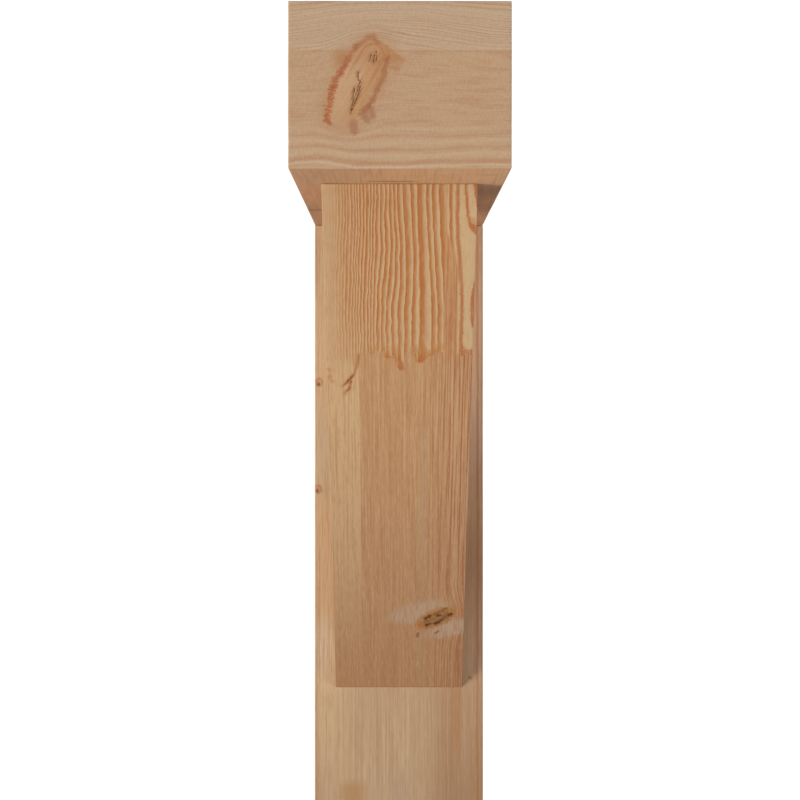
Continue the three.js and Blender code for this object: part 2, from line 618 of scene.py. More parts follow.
    face = wood.mix(least(halo + shoulder + fan * 0.6, 0.8) * end, face, knot["halo"])
    face = wood.mix(inside * end, face, body)
    inner = hill(outside + ragged, -4.5, 2.2) * rise(along, -10.0, 20.0) * 0.4
    face = wood.mix(inner * end, face, knot["vein"])
    face = wood.mix(rim * end * flecked, face, knot["brown"])
    face = wood.mix(left * end * flecked, face, knot["rust"])
    stains = 0.0
    for start, finish, half in knot["stains"]:
        far = lineDistance(x, height, start, finish) - half + ragged * 3.0
        stains = most(rise(far, 3.4, -0.6), stains)
    face = wood.mix(stains * end * 0.55, face, knot["stain"])
    cracks = beamCracks(x, height)
    broken = rise(wood.noise(x / 2.4, 6.0, height / 3.2, 2.0), -0.4, 0.1) * 0.6 + 0.4
    strands = rise(veins, -0.2, 0.3) * rise(cracks + ragged * 1.5, 4.4, 0.6)
    face = wood.mix(strands * end * 0.6, face, knot["strand"])
    face = wood.mix(rise(cracks + ragged * 0.9, 0.8, 0.0) * broken * end * 0.85, face, knot["crack"])

    bump = fibres * 0.04 + rings * 0.04
    return wood.finish(face, bump, fibre * 0.05 + tones["roughness"])


beam = makeBlock("beam_timber", beamLow, beamHigh, beamTimber, beamSunk, beamWood())


# Leg

legTimber = {
    "arris": 1.2,
    "bearing": 2,  # the top end, under the beam, stays sharp
    "spacing": (2.6, 4.0, 8.0),
    "closer": ([], [], []),
    "sawWaves": 0.08,  # depth
    "waveLengths": (50.0, 60.0, 220.0),
    "waveSeed": 23,
    "roughness": 0.6,
    "layer": 4.6,  # thickness of a growth ring
    "endLayer": 6.0,  # and of one on the sawn foot
    "pith": (190.0, 60.0),  # x, and depth behind the front face
    "pale": colour(188, 157, 124),
    "grey": colour(176, 144, 118),
    "gold": colour(176, 132, 88),
    "side": colour(192, 154, 116),
    "left": colour(216, 181, 139),
    # painted light on the front strips beside the brace
    "paintedLight": colour(232, 208, 176),
    "line": colour(172, 120, 76),
    "right": colour(208, 168, 138),
    "red": colour(164, 102, 60),
    "shade": colour(150, 110, 76),
    "knot": colour(112, 50, 22),
    "knotRing": colour(200, 136, 82),
    "knotRim": colour(160, 86, 40),
    "pinKnots": ((-96.5, 89.6), (-97.8, -39.4)),  # x and z on the front face
    "darkMark": ((84.8, -267.4), (87.4, -268.6)),
    # upright red lines: x of the middle, flank and strength; the low ones fade towards the foot
    "redLines": ((95.0, 2.6, 0.6), (56.7, 1.6, 0.4)),
    "lowRedLines": ((63.6, 2.0, 0.34), (72.7, 1.6, 0.3)),
}


def legSunk(points):
    # saw waves alone
    waves = ripples(points, legTimber["waveLengths"], legTimber["waveSeed"])
    return legTimber["sawWaves"] * (1.0 + waves)


def legWood():
    # rings are circles round a pith beside the leg. Places are in mm: x, z, and depth behind the
    # front face. Tones that belong to the front face alone are mixed in by a share times front.
    tones = legTimber
    wood = Wood("leg wood")
    x = wood.x
    depth = wood.y - legLow[1]
    z = wood.z
    front = rise(depth, 20.0, 2.0)
    wander = wood.noise(x / 50.0, depth / 60.0, z / 200.0) * 3.0
    fromPith = root((x + wander - tones["pith"][0]) ** 2.0 + (depth - tones["pith"][1]) ** 2.0)
    uneven = wood.noise(fromPith / 8.0, 0.0, z / 900.0) * 0.8
    rings = wood.ring(fromPith / tones["layer"] + uneven)
    broad = wood.noise(x / 14.0, depth / 16.0, z / 180.0, 3.0, 0.6)
    fine = wood.noise(x / 2.2, depth / 2.2, z / 140.0, 2.0, 0.6)
    fibre = wood.noise(x / 1.9, depth / 1.9, z / 22.0, 3.0, 0.7)
    # below the brace's foot, where the painted light on the strips is weaker
    low = rise(z, -264.0, -296.0)

    # front: painted light in the middle of both strips beside the brace, and painted shade, greyer, on the
    # right strip right under the beam
    face = wood.mix(front, tones["side"], tones["pale"])
    # painted light: the strip left of the brace is lighter above the brace's foot, where the brace shades
    # it
    face = wood.mix(rise(x, -44.0, -84.0) * (1.0 - low * 0.6) * front, face, tones["left"])
    # painted light on the left strip, strongest just above the brace's foot and around mid-height
    paintedLight = hill(z, -228.0, 58.0) * 0.72 + hill(z, 4.0, 70.0) * 0.3
    face = wood.mix(paintedLight * rise(x, -58.0, -72.0) * front, face, tones["paintedLight"])
    # the strip right of the brace: a pinker tone, with painted light around mid-height where the brace's
    # shadow thins out
    rightStrip = rise(x, 40.0, 84.0) * (hill(z, 30.0, 120.0) * 0.6 + rise(z, 275.0, 215.0) * 0.4)
    face = wood.mix(least(rightStrip, 1.0) * (1.0 - low * 0.35) * front, face, tones["right"])
    face = wood.mix(hill(z, 30.0, 80.0) * rise(x, 60.0, 84.0) * front * 0.3, face, tones["paintedLight"])
    # painted shade: the right strip greyer and darker right under the beam
    underBeamShade = rise(z, 60.0, 170.0) * 0.5 + rise(z, 200.0, 262.0) * 0.3
    face = wood.mix(underBeamShade * rise(x, 60.0, 84.0) * front, face, tones["grey"])
    face = wood.mix(rise(z, 190.0, 275.0) * rise(x, 60.0, 84.0) * front * 0.26, face, tones["shade"])
    face = wood.mix(rise(z, -300.0, -420.0) * rise(x, -60.0, -90.0) * front * 0.6, face, tones["grey"])

    # rings and long fibres, weaker on the front
    ringShare = 0.3 - front * 0.24
    face = wood.mix(rings * ringShare + rise(broad, -0.2, 0.8) * 0.26, face, tones["line"])
    face = wood.mix(rise(fine, 0.0, 0.5) * 0.34, face, tones["line"])
    face = wood.mix(rise(fine, 0.0, -0.5) * 0.32, face, tones["left"])

    # painted shade beside the brace, darker towards the foot on the right, with upright red lines on the
    # right
    # painted shadow of the brace on the strip right of it
    paintedBraceShadow = rise(x, 60.0, 80.0) * hill(z, -130.0, 90.0) * 0.4
    face = wood.mix(paintedBraceShadow * front, face, tones["shade"])
    rightShare = rise(x, 8.0, 70.0) * (rise(z, -240.0, -300.0) * 0.3 + rise(z, -300.0, -420.0) * 0.3 + 0.05)
    face = wood.mix(rightShare * front, face, tones["shade"])
    waving = x + wood.noise(0.0, 0.0, z / 60.0) * 1.2
    redBand = hill(waving, 69.0, 12.0) * rise(z, -395.0, -330.0) * 0.5
    redLine = stripes(waving, tones["lowRedLines"]) * rise(z, -420.0, -340.0)
    redLine = redLine + stripes(waving, tones["redLines"])
    face = wood.mix(redBand * front, face, tones["line"])
    face = wood.mix(least(redLine, 0.8) * front, face, tones["red"])
    edge = rise(x, -96.0, -99.5) * rise(z, -60.0, -330.0) * 0.5 + rise(x, 98.5, 100.5) * 0.4
    face = wood.mix(edge * front, face, tones["line"])

    # a golden and a grey patch low on the front, then the pin knots and a dark mark
    gold = hill(x + fibre * 6.0, -56.0, 27.0) * rise(z + fibre * 6.0, -386.0, -402.0) * 0.85
    grey = hill(x, 2.0, 22.0) * rise(z, -370.0, -400.0) * 0.5
    face = wood.mix(gold * front, face, tones["gold"])
    face = wood.mix(grey * front, face, tones["grey"])
    ragged = wood.noise(x / 2.2, depth / 3.0, z / 2.2, 2.0)
    for knotX, knotZ in tones["pinKnots"]:
        far = root((x - knotX) ** 2.0 + ((z - knotZ) * 0.85) ** 2.0) + ragged * 0.8
        face = wood.mix(rise(far, 7.0, 2.5) * front * 0.5, face, tones["knotRing"])
        face = wood.mix(hill(far, 3.8, 1.4) * front * 0.4, face, tones["knotRim"])
        heartX, heartZ = knotX - 0.8, knotZ - 2.2
        heart = root((x - heartX) ** 2.0 + ((z - heartZ) * 0.7) ** 2.0) + ragged * 1.2
        face = wood.mix(rise(heart, 2.6, 0.4) * front * 0.8, face, tones["knot"])
    mark = lineDistance(x, z, *tones["darkMark"]) + ragged * 1.4
    face = wood.mix(rise(mark, 2.6, 0.2) * front * 0.5, face, tones["knot"])
    face = wood.mix(rise(fibre, -0.1, 0.5) * 0.26, face, tones["line"])
    face = wood.mix(rise(fibre, 0.0, -0.5) * 0.12, face, tones["left"])

    # sawn across at the foot: the growth rings show as arcs
    sawn = rise(z, legLow[2] + 2.0, legLow[2] + 1.0)
    arcs = wood.ring(fromPith / tones["endLayer"] + uneven, 0.2, 0.9)
    sawnTone = wood.mix(arcs * 0.5 + rise(fine, 0.0, 0.5) * 0.1, tones["pale"], tones["line"])
    face = wood.mix(sawn, face, sawnTone)
    return wood.finish(face, fibre * 0.04 + rings * 0.04, fibre * 0.05 + tones["roughness"])


leg = makeBlock("leg_timber", legLow, legHigh, legTimber, legSunk, legWood())


# Brace

# the brace's outer face runs from its foot up to its head, the two far corners of its box
braceFoot = np.array([braceHigh[1], braceLow[2]])
braceHead = np.array([braceLow[1], braceHigh[2]])
braceRun = float(np.linalg.norm(braceHead - braceFoot))
braceAlong = (braceHead - braceFoot) / braceRun
braceInward = np.array([braceAlong[1], -braceAlong[0]])


def braceDepth():
    # how far the brace's mesh reaches inwards, square to its outer face
    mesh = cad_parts["diagonal_brace"].data
    places = np.zeros(len(mesh.vertices) * 3)
    mesh.vertices.foreach_get("co", places)
    sides = places.reshape(-1, 3)[:, 1:] * metre - braceFoot
    return float((sides @ braceInward).max())


braceThick = braceDepth()
print("brace", round(braceRun, 1), "long outside,", round(braceThick, 1), "thick")

braceTimber = {
    "arris": 0.5,  # rounding of the long corners
    "spacing": (2.8, 3.2, 9.0),  # of the mesh's lines: across, inwards and along
    "closer": (  # round the resin cracks and the knot: from, to, spacing
        [(14.0, 38.0, 1.2), (92.0, 148.0, 1.2)],
        [],
        [(92.0, 166.0, 1.2), (498.0, 556.0, 1.4)],
    ),
    "planeWaves": 0.07,  # depth
    "waveLengths": (50.0, 60.0, 220.0),
    "waveSeed": 37,
    "roughness": 0.56,
    "pith": (150.0, 110.0),  # x, and depth behind the outer face
    "ringsPerMm": 0.18,
    "slowFrom": 180.0,  # distance from the pith where the rings start to get closer
    "slowOver": 28.0,  # over how far they do so
    "moreRings": 0.19,  # per mm, beyond that
    "ringEnd": 561.0,  # up the face from the foot
    "sapEdge": -42.5,  # x
    "cream": colour(200, 166, 124),
    "orange": colour(178, 108, 46),
    "deepOrange": colour(172, 94, 36),
    "meltLight": colour(184, 124, 66),
    "patch": colour(190, 139, 92),
    "red": colour(168, 104, 68),
    "redLine": colour(158, 88, 52),
    "tan": colour(190, 146, 102),
    "gold": colour(174, 121, 70),
    "sap": colour(203, 166, 122),
    "pale": colour(206, 170, 130),
    "side": colour(192, 152, 112),
    "paleBand": colour(184, 148, 112),
    "foot": colour(146, 102, 70),
    "crack": colour(142, 78, 24),
}

# dips and rises of the ragged line where the rings end: x, flank and depth, in mm
ringDips = ((1.5, 6.0, 22.0), (23.0, 8.0, 15.0), (-31.0, 4.0, 3.0), (-12.0, 6.0, 6.0), (67.0, 7.0, 2.0))
ringRises = ((-20.0, 7.0, 4.0), (13.0, 5.0, 10.0), (40.0, 9.0, 5.0))

# where late wood of several rings melts together: two ends of each streak, and its half width
ringMelts = (
    ((-6.0, 573.0), (-2.5, 556.0), 3.2),
    ((-2.0, 556.0), (2.2, 539.0), 2.3),
    ((17.0, 571.0), (21.5, 552.0), 3.4),
    ((22.5, 552.0), (29.5, 562.0), 3.2),
    ((23.0, 570.0), (25.0, 560.0), 4.4),
    ((31.0, 561.0), (42.0, 570.0), 3.2),
    ((34.0, 577.0), (43.5, 572.0), 3.2),
    ((-30.5, 574.0), (-28.5, 562.5), 1.8),
    ((-25.0, 573.0), (-24.0, 567.0), 1.4),
    ((-16.0, 576.0), (-12.2, 557.0), 2.6),
    ((64.5, 572.0), (65.5, 559.0), 1.6),
    ((66.5, 563.5), (73.5, 563.0), 2.8),
)

braceKnot = {
    "middle": (43.5, 130.5),  # x, and distance up the face from the foot
    "tilt": math.radians(52.0),  # of its long axis, from upright towards the right
    "half": (27.5, 14.0),
    "rim": colour(170, 118, 64),
    "body": colour(146, 98, 56),
    "fleck": colour(82, 46, 14),
    "seam": colour(116, 72, 30),
    "flecks": (  # two ends of each and its half width
        ((31.8, 129.0), (36.4, 134.6), 1.3),
        ((45.6, 134.4), (47.6, 135.8), 1.0),
        ((32.5, 117.2), (36.0, 119.2), 1.4),
        ((43.0, 120.2), (47.2, 123.6), 1.5),
        ((49.0, 125.8), (51.5, 128.0), 0.4),
        ((58.6, 136.0), (61.2, 138.2), 1.2),
    ),
    "seams": (
        ((48.6, 126.4), (58.8, 136.6), 2.4),
        ((41.0, 137.0), (46.4, 141.4), 1.3),
        ((37.0, 119.6), (42.0, 119.2), 0.2),
        ((33.0, 124.0), (42.0, 130.0), 0.3),
        ((50.0, 144.0), (54.0, 147.5), 1.6),
        ((30.0, 121.0), (31.5, 129.0), 0.4),
        ((52.0, 133.0), (56.0, 141.0), 0.4),
    ),
    "pale": colour(177, 147, 121),
    "dot": colour(120, 70, 44),
    "dots": (((21.9, 96.5), (22.3, 102.5), 1.0), ((42.5, 102.5), (46.5, 106.5), 0.7)),
    "fleckDepth": 0.7,
    "rimDepth": 0.2,
}

braceResin = {
    "cracks": (
        (
            (-42.4, 559.0),
            (-42.7, 550.6),
            (-44.3, 542.7),
            (-46.3, 533.8),
            (-48.4, 528.7),
            (-55.4, 517.7),
            (-57.9, 514.6),
        ),
        ((-51.2, 519.6), (-51.6, 512.2), (-52.7, 508.0), (-56.0, 504.9), (-57.2, 501.0)),
    ),
    "crackDepth": 0.3,
    # x, distance up the face and radius
    "blots": ((-73.6, 537.0, 3.4), (-74.0, 526.0, 3.6), (-70.5, 520.0, 3.0), (-60.0, 512.0, 2.0)),
}

# late wood right of the last full ring, each line as x and distance up the face
looseEnds = {
    "hook": ((64.2, 792.0), (66.8, 756.0), (68.2, 745.0), (70.0, 736.0)),
    "hookTip": ((71.5, 735.0), (76.4, 727.5)),
    "hookFill": ((71.0, 744.0), (75.5, 733.0)),
    "wedge": ((73.2, 794.0), (77.6, 762.0)),
    "lens": (77.0, 628.0),
    "lensHalf": (5.0, 36.0),
}


def braceCrackDistance(x, along):
    # distance to the nearest of the resin cracks
    return nearestOf([nearestLine(x, along, line) for line in braceResin["cracks"]])


def braceKnotRadius(x, along):
    # 1 on the knot's outline, 0 in its middle
    knot = braceKnot
    right = x - knot["middle"][0]
    up = along - knot["middle"][1]
    length = right * math.sin(knot["tilt"]) + up * math.cos(knot["tilt"])
    width = right * math.cos(knot["tilt"]) - up * math.sin(knot["tilt"])
    return root((length / knot["half"][0]) ** 2.0 + (width / knot["half"][1]) ** 2.0)


def fleckDistance(x, along):
    # distance outside the nearest of the knot's dark flecks
    return nearestOf(
        [lineDistance(x, along, start, end) - half for start, end, half in braceKnot["flecks"]]
    )


def braceSunk(x, depth, along):
    # plane waves, drying cracks, and the hollow flecks of the knot
    points = np.column_stack([x, depth, along])
    waves = ripples(points, braceTimber["waveLengths"], braceTimber["waveSeed"])
    front = rise(depth, 3.0, 0.5)
    crack = braceResin["crackDepth"] * rise(braceCrackDistance(x, along), 1.8, 0.3)
    flecks = braceKnot["fleckDepth"] * rise(fleckDistance(x, along), 0.8, -0.6)
    rim = braceKnot["rimDepth"] * hill(braceKnotRadius(x, along), 1.0, 0.16)
    return braceTimber["planeWaves"] * (1.0 + waves) + front * (crack + flecks + rim)


def braceWood():
    # rings are circles round a pith behind the right side, closer beyond a certain radius. Places
    # are in mm: x, distance up the outer face from the foot, and depth behind that face.
    tones = braceTimber
    knot = braceKnot
    wood = Wood("brace wood")
    x = wood.x
    fromFootY = wood.y - braceFoot[0]
    fromFootZ = wood.z - braceFoot[1]
    along = fromFootY * float(braceAlong[0]) + fromFootZ * float(braceAlong[1])
    depth = fromFootY * float(braceInward[0]) + fromFootZ * float(braceInward[1])
    front = rise(depth, 9.0, 1.5)
    ragged = wood.noise(x / 2.4, along / 3.4, depth / 6.0, 3.0, 0.6)
    fibre = wood.noise(x / 1.9, along / 18.0, depth / 1.9, 3.0, 0.7)
    grain = wood.noise(x / 2.3, along / 120.0, depth / 2.3, 2.0, 0.6)
    fineLines = wood.noise(x / 1.9, along / 170.0, depth / 1.9, 1.0)
    broad = wood.noise(x / 8.0, along / 150.0, depth / 9.0, 3.0, 0.6)

    # growth rings around a pith behind the right side: they fan out and bow on the way down
    fan = least(most(x * 0.19, -4.5), 6.5) * rise(along, 775.0, 600.0)
    bow = hill(x, 2.0, 34.0) * hill(along, 700.0, 105.0) * 3.6
    wander = wood.noise(x / 22.0, along / 40.0, depth / 26.0) * 1.1
    wander = wander + wood.noise(x / 4.0, along / 14.0, 0.0) * 0.55
    bent = x - fan - bow + wander
    radius = root((bent - tones["pith"][0]) ** 2.0 + (depth - tones["pith"][1]) ** 2.0)
    slowed = most(radius - tones["slowFrom"], 0.0)
    slowing = tones["moreRings"] / tones["slowOver"] / 2.0
    phase = radius * tones["ringsPerMm"] + least(slowed, tones["slowOver"]) ** 2.0 * slowing
    phase = phase + most(slowed - tones["slowOver"], 0.0) * tones["moreRings"]
    phase = phase + wood.noise(radius / 8.0, along / 500.0, 3.7) * 0.45
    late = wood.ring(phase, 0.04, 0.7)
    edge = wood.ring(phase, 0.56, 0.86)
    strength = rise(x, -70.0, -54.0) * (rise(along, 560.0, 640.0) * 0.3 + 0.45)
    strength = strength + rise(x, -54.0, -30.0) * 0.25 + 0.08
    warm = rise(x, -40.0, -60.0) * 0.12 + rise(broad, -0.1, 0.8) * 0.12
    upper = wood.mix(warm, tones["cream"], tones["orange"])
    upper = wood.mix(least(late * strength * 0.84, 0.84), upper, tones["orange"])
    upper = wood.mix(edge * (rise(x, -66.0, -36.0) * 0.42 + 0.14), upper, tones["deepOrange"])

    # right of the last full ring: a fine-lined patch, then cream wood with loose ends of late wood
    lastRing = rise(along, 762.0, 620.0) * 7.0 + 56.8
    fromLast = x - lastRing + wood.noise(0.0, along / 14.0, 9.0) * 0.7
    patchLeft = 45.5 + wood.noise(0.0, along / 30.0, 5.0) * 0.8
    patchRight = rise(along, 745.0, 670.0) * 13.5 + 46.0
    patchShare = rise(x, patchLeft - 1.0, patchLeft + 1.0) * rise(x, patchRight + 1.5, patchRight - 1.5)
    patchTone = wood.mix(rise(fineLines, 0.0, 0.28) * 0.6, tones["patch"], tones["red"])
    lastCream = rise(fromLast, -5.5, -3.5)
    upper = wood.mix(lastCream * front, upper, tones["cream"])
    upper = wood.mix(patchShare * front, upper, patchTone)
    lastLine = rise(abs(fromLast + ragged * 0.8), 3.0, 0.8)
    hook = nearestLine(x, along, looseEnds["hook"])
    hook = least(hook, lineDistance(x, along, *looseEnds["hookTip"]) - 1.6)
    hookFill = rise(lineDistance(x, along, *looseEnds["hookFill"]) + ragged * 1.5, 5.0, 0.5)
    wedge = lineDistance(x, along, *looseEnds["wedge"]) - 1.2
    lensAside = (x - looseEnds["lens"][0]) / looseEnds["lensHalf"][0]
    lensUp = (along - looseEnds["lens"][1]) / looseEnds["lensHalf"][1]
    lens = root(lensAside**2.0 + lensUp**2.0)
    loose = most(rise(hook + ragged * 1.2, 2.6, 0.5), rise(wedge + ragged * 1.2, 1.8, 0.2))
    loose = most(loose, rise(lens + ragged * 0.2, 1.06, 0.8))
    loose = most(loose, lastLine * 0.94)
    upper = wood.mix(hookFill * front * 0.6, upper, tones["meltLight"])
    upper = wood.mix(loose * front * 0.84, upper, tones["deepOrange"])

    # the rings end along a ragged line, where late wood melts together and drips
    endLine = wood.noise(x / 4.0, along / 60.0, 1.0, 3.0) * 3.4 + tones["ringEnd"]
    endLine = endLine - stripes(x, ringDips) + stripes(x, ringRises)
    aboveEnd = along - endLine + ragged * 3.0
    melt = 0.0
    for start, end, half in ringMelts:
        here = lineDistance(x, along, start, end) - half + ragged * 2.6
        melt = most(rise(here, 2.4, -0.4), melt)
    melt = melt * (rise(along, 577.0, 564.0) * 0.65 + late * 0.35)

    # below them: plain fine-grained wood, redder and lined towards the right
    awayFromKnot = x - knot["middle"][0]
    push = (rise(awayFromKnot, -24.0, 24.0) * 2.0 - 1.0) * 9.0
    push = push * hill(along, 132.0, 62.0) * hill(x, 43.0, 70.0)
    bentLines = wood.noise((x - push) / 1.9, along / 170.0, depth / 1.9, 1.0)
    redder = rise(x, 16.0, 72.0)
    lines = rise(bentLines, 0.0, 0.24)
    lower = wood.mix(rise(broad, -0.35, 0.75) * 0.46, tones["tan"], tones["gold"])
    lower = wood.mix(rise(grain, 0.0, 0.45) * (0.44 - redder * 0.2), lower, tones["gold"])
    lower = wood.mix(rise(grain, 0.0, -0.45) * 0.34, lower, tones["pale"])
    lower = wood.mix(rise(bentLines, 0.0, -0.3) * redder * 0.42, lower, tones["pale"])
    lower = wood.mix(redder * 0.14, lower, tones["red"])
    lower = wood.mix(lines * (redder * 0.66 + 0.08), lower, tones["redLine"])
    pale = hill(x, 26.0, 7.5) * rise(along, 500.0, 400.0)
    lower = wood.mix(pale * 0.6, lower, tones["paleBand"])
    lower = wood.mix(hill(x, -7.0, 1.6) * rise(along, 330.0, 220.0) * 0.3, lower, tones["red"])

    endShare = rise(aboveEnd, -1.2, 1.2)
    patchDown = rise(x, 45.0, 48.0) * rise(x, 63.0, 60.0) * rise(along, 520.0, 575.0)
    leftDown = rise(x, -37.0, -43.0) * rise(along, 500.0, 545.0)
    face = wood.mix(least(most(endShare, most(patchDown, leftDown)), 1.0), lower, upper)
    sapShare = rise(x, tones["sapEdge"] + 0.5, tones["sapEdge"] - 0.5) * rise(along, 558.0, 534.0)
    sapTone = wood.mix(rise(broad, -0.2, 0.8) * 0.32, tones["sap"], tones["tan"])
    sapTone = wood.mix(rise(grain, 0.0, 0.45) * 0.44, sapTone, tones["gold"])
    sapTone = wood.mix(rise(grain, 0.0, -0.45) * 0.34, sapTone, tones["pale"])
    goldLines = rise(fineLines, 0.1, 0.5) * rise(x, -52.0, -62.0) * hill(along, 320.0, 130.0)
    sapTone = wood.mix(goldLines * 0.5, sapTone, tones["gold"])
    sapTone = wood.mix(rise(along, 280.0, 0.0) * 0.5, sapTone, tones["gold"])
    face = wood.mix(sapShare * 0.95, face, sapTone)
    meltDepth = most(rise(along + ragged * 9.0, 568.0, 546.0), rise(x, 58.0, 64.0) * 0.8)
    meltTone = wood.mix(meltDepth, tones["meltLight"], tones["deepOrange"])
    face = wood.mix(least(melt, 1.0) * front * 0.9, face, meltTone)
    crack = braceCrackDistance(x, along) + ragged * 0.9
    heavy = hill(along, 523.0, 12.0) * 0.55 + hill(along, 508.0, 6.0) * 0.3 + 0.3
    face = wood.mix(rise(crack, 4.8, 0.4) * front * (heavy * 0.5 + 0.1), face, tones["orange"])
    crackShare = rise(crack - heavy * 1.3, 1.4, -0.2) * front * least(heavy + 0.16, 0.9)
    face = wood.mix(crackShare, face, tones["crack"])
    for blotX, blotPlace, radius in braceResin["blots"]:
        far = root((x - blotX) ** 2.0 + (along - blotPlace) ** 2.0) + ragged * 2.0
        face = wood.mix(rise(far, radius + 1.4, 0.4) * front * 0.5, face, tones["orange"])

    # behind the outer face the figure is plainer: the same rings, with nothing that ends them
    plain = wood.mix(rise(broad, -0.3, 0.8) * 0.3, tones["side"], tones["gold"])
    plain = wood.mix(late * 0.32 + edge * 0.12, plain, tones["orange"])
    face = wood.mix(front, plain, face)

    # the foot is a little darker, with a painted shadow line along its edge
    face = wood.mix(rise(along, 560.0, 0.0) * 0.44 + rise(along, 2.6, 0.6) * 0.2, face, tones["foot"])

    # the knot near the foot, in a pale patch combed by the fibres that part around it
    size = braceKnotRadius(x, along)
    knotLength = (x * math.sin(knot["tilt"]) + along * math.cos(knot["tilt"])) / 4.5
    knotWidth = (x * math.cos(knot["tilt"]) - along * math.sin(knot["tilt"])) / 1.3
    streaks = wood.noise(knotLength, knotWidth, 2.0, 2.0, 0.6)
    combed = wood.noise(x / 1.5, along / 26.0, 0.0, 2.0, 0.6)
    paleLeft = root(((x - 24.0) / 38.0) ** 2.0 + ((along - 141.0 - (x - 24.0) * 0.3) / 19.0) ** 2.0)
    paleRight = root(((x - 64.0) / 34.0) ** 2.0 + ((along - 112.0 - (x - 64.0) * 0.42) / 16.0) ** 2.0)
    around = most(
        rise(paleLeft + combed * 0.4, 1.16, 0.62),
        rise(paleRight + combed * 0.4, 1.16, 0.58),
    )
    face = wood.mix(around * front * (0.88 - rise(combed, -0.1, 0.35) * 0.55), face, knot["pale"])
    face = wood.mix(rise(fibre, -0.05, 0.5) * 0.24, face, tones["red"])
    face = wood.mix(rise(fibre, 0.0, -0.5) * 0.22, face, tones["pale"])
    face = wood.mix(rise(size + ragged * 0.3, 1.18, 0.86) * front * 0.94, face, knot["rim"])
    patches = wood.noise(x / 5.0, along / 5.0, 7.0, 2.0)
    face = wood.mix(rise(patches, 0.0, 0.35) * rise(size, 1.05, 0.9) * front * 0.55, face, knot["body"])
    face = wood.mix(rise(streaks, 0.0, 0.4) * rise(size, 0.9, 0.7) * front * 0.5, face, knot["seam"])
    leftEnd = hill(x, 27.0, 8.0) * hill(along, 117.0, 10.0) * rise(ragged, -0.5, 0.3)
    rightEnd = hill(x, 75.0, 7.0) * hill(along, 148.0, 22.0) * rise(ragged, -0.6, 0.4)
    face = wood.mix(most(leftEnd, rightEnd) * front * 0.8, face, tones["deepOrange"])
    face = wood.mix(rise(size + ragged * 0.12, 0.78, 0.5) * front * 0.5, face, knot["body"])
    for start, finish, half in knot["seams"]:
        seam = lineDistance(x, along, start, finish) - half + ragged + streaks * 2.4
        face = wood.mix(rise(seam, 1.4, -0.5) * front * 0.62, face, knot["seam"])
    flecks = fleckDistance(x, along) + ragged * 1.2 + streaks * 3.0
    face = wood.mix(rise(flecks, 2.2, 0.2) * front * 0.7, face, knot["seam"])
    face = wood.mix(rise(flecks, 1.0, -0.3) * front * 0.92, face, knot["fleck"])
    for start, finish, half in knot["dots"]:
        far = lineDistance(x, along, start, finish) - half + ragged * 0.8
        face = wood.mix(rise(far, 1.7, -0.4) * front * 0.75, face, knot["dot"])
    return wood.finish(face, fibre * 0.04 + late * 0.05, fibre * 0.05 + tones["roughness"])


def makeBrace(sizes, material):
    # block axes: across, into the wood from the outer face, and a share of the way along
    # between the two cut ends, which slope by the same amount for every step inwards
    width = braceHigh[0] - braceLow[0]
    size = np.array([width, braceThick, braceRun])
    lines = [
        gridLines(size[axis], sizes["spacing"][axis], sizes["closer"][axis], sizes["arris"])
        for axis in range(3)
    ]
    points, faces = boxLattice(lines)
    inner, out = eased(points, size, sizes["arris"], (0, 1))
    block = inner + out * sizes["arris"]
    share = block[:, 2] / braceRun
    footCut = block[:, 1] * braceInward[0] / -braceAlong[0]
    headCut = braceRun - block[:, 1] * braceInward[1] / braceAlong[1]
    along = footCut + share * (headCut - footCut)
    sunk = np.maximum(braceSunk(block[:, 0] + braceLow[0], block[:, 1], along), 0.0)
    block = block - out * sunk[:, None]
    side = braceFoot + along[:, None] * braceAlong + block[:, 1:2] * braceInward
    placed = np.column_stack([block[:, 0] + braceLow[0], side])
    return makePiece("brace_timber", placed, faces, material)


brace = makeBrace(braceTimber, braceWood())

for piece, node, slot in (
    (beam, "top_beam", "beam_timber"),
    (leg, "wall_leg", "leg_timber"),
    (brace, "diagonal_brace", "brace_timber"),
):
    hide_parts(node)
    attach(piece, "root")
print("timbers made")


# Stage and light

stage = {
    "floorRadius": 4.0,
    "floorHeight": -1.6,  # the bracket hangs above the floor, as it does on a wall
    "floorTone": 0.77,
    "floorSides": 96,
    "floorWhite": 0.5,  # how far the floor is whitened right under the bracket
    "whiteFrom": 0.1,  # where it starts to turn whiter, as a share of the floor's radius
    "whiteTo": 0.8,  # and where it is white
    "worldGlow": 0.2,
    "whiteGlow": 1.05,
}

keyLight = {
    "place": (-6.0, -3.6, -1.7),
    "aim": (0.0, -0.45, 0.0),
    "size": (3.2, 2.8),
    "power": 545.0,
}

fillLight = {
    "place": (2.4, -3.2, 1.4),
    "aim": (0.0, -0.45, 0.0),
    "size": (2.0, 2.0),
    "power": 54.0,
}

backLight = {
    "place": (3.4, 4.6, 2.6),
    "aim": (0.0, -0.3, 0.0),
    "size": (3.0, 3.0),
    "power": 260.0,
}

topLight = {
    "place": (0.3, 0.5, 3.6),
    "aim": (0.0, -0.4, 0.4),
    "size": (2.2, 2.2),
    "power": 22.0,
}


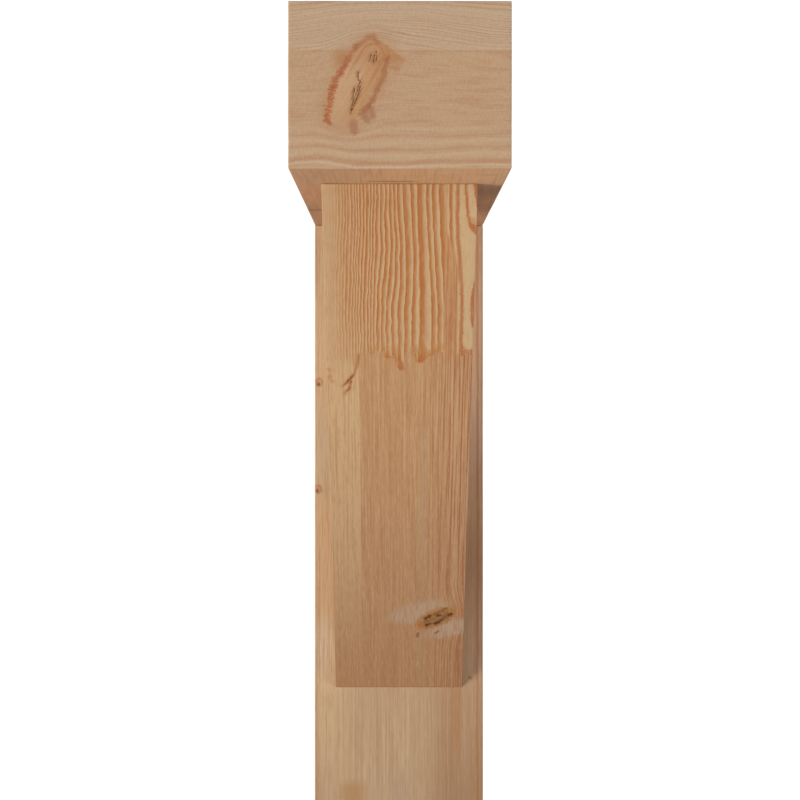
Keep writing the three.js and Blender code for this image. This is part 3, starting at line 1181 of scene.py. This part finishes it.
def makeFloor(settings):
    # a pale disc that turns as white as the backdrop towards its rim. Only what the camera sees
    # is whitened: the light that the floor throws back is that of the plain pale disc.
    material = bpy.data.materials.new("pale floor")
    material.use_nodes = True
    nodes = material.node_tree.nodes
    links = material.node_tree.links
    shader = nodes["Principled BSDF"]
    tone = settings["floorTone"]
    shader.inputs["Base Color"].default_value = (tone, tone, tone, 1.0)
    shader.inputs["Roughness"].default_value = 1.0
    shader.inputs["Specular IOR Level"].default_value = 0.0
    place = nodes.new("ShaderNodeTexCoord")
    away = nodes.new("ShaderNodeVectorMath")
    away.operation = "DISTANCE"
    away.inputs[1].default_value = (0.0, 0.0, settings["floorHeight"])
    links.new(place.outputs["Object"], away.inputs[0])
    whiter = nodes.new("ShaderNodeMapRange")
    whiter.inputs["From Min"].default_value = settings["floorRadius"] * settings["whiteFrom"]
    whiter.inputs["From Max"].default_value = settings["floorRadius"] * settings["whiteTo"]
    whiter.inputs["To Min"].default_value = settings["floorWhite"]
    links.new(away.outputs["Value"], whiter.inputs["Value"])
    path = nodes.new("ShaderNodeLightPath")
    seen = nodes.new("ShaderNodeMath")
    seen.operation = "MULTIPLY"
    links.new(path.outputs["Is Camera Ray"], seen.inputs[0])
    links.new(whiter.outputs["Result"], seen.inputs[1])
    white = nodes.new("ShaderNodeEmission")
    white.inputs["Strength"].default_value = settings["whiteGlow"]
    blend = nodes.new("ShaderNodeMixShader")
    links.new(seen.outputs[0], blend.inputs[0])
    links.new(shader.outputs[0], blend.inputs[1])
    links.new(white.outputs[0], blend.inputs[2])
    links.new(blend.outputs[0], nodes["Material Output"].inputs["Surface"])
    turns = np.linspace(0.0, 2 * math.pi, settings["floorSides"], endpoint=False)
    rim = np.column_stack([np.cos(turns), np.sin(turns), turns * 0.0]) * settings["floorRadius"]
    rim[:, 2] = settings["floorHeight"]
    mesh = bpy.data.meshes.new("floor")
    mesh.from_pydata(rim.tolist(), [], [list(range(len(rim)))])
    mesh.materials.append(material)
    floor = bpy.data.objects.new("floor", mesh)
    bpy.context.scene.collection.objects.link(floor)


def makeWorld(settings):
    # white wherever the camera looks past the bracket, and a softer fill light on the wood
    world = bpy.data.worlds.new("studio")
    world.use_nodes = True
    bpy.context.scene.world = world
    nodes = world.node_tree.nodes
    links = world.node_tree.links
    path = nodes.new("ShaderNodeLightPath")
    strength = nodes.new("ShaderNodeMapRange")
    strength.inputs["To Min"].default_value = settings["worldGlow"]
    strength.inputs["To Max"].default_value = settings["whiteGlow"]
    links.new(path.outputs["Is Camera Ray"], strength.inputs["Value"])
    back = nodes["Background"]
    back.inputs["Color"].default_value = (1.0, 1.0, 1.0, 1.0)
    links.new(strength.outputs["Result"], back.inputs["Strength"])


def makeLight(name, settings):
    # a rectangular lamp, in metres and watts, turned to look at its aim
    data = bpy.data.lights.new(name, "AREA")
    data.shape = "RECTANGLE"
    data.size, data.size_y = settings["size"]
    data.energy = settings["power"]
    light = bpy.data.objects.new(name, data)
    place = np.array(settings["place"])
    aim = np.array(settings["aim"]) - place
    light.location = place
    flat = math.hypot(aim[0], aim[1])
    light.rotation_euler = (math.pi / 2 + math.atan2(aim[2], flat), 0.0, math.atan2(-aim[0], aim[1]))
    bpy.context.scene.collection.objects.link(light)


makeFloor(stage)
makeWorld(stage)
makeLight("soft key light", keyLight)
makeLight("fill light", fillLight)
makeLight("back light", backLight)
makeLight("top light", topLight)
print("stage and light made")
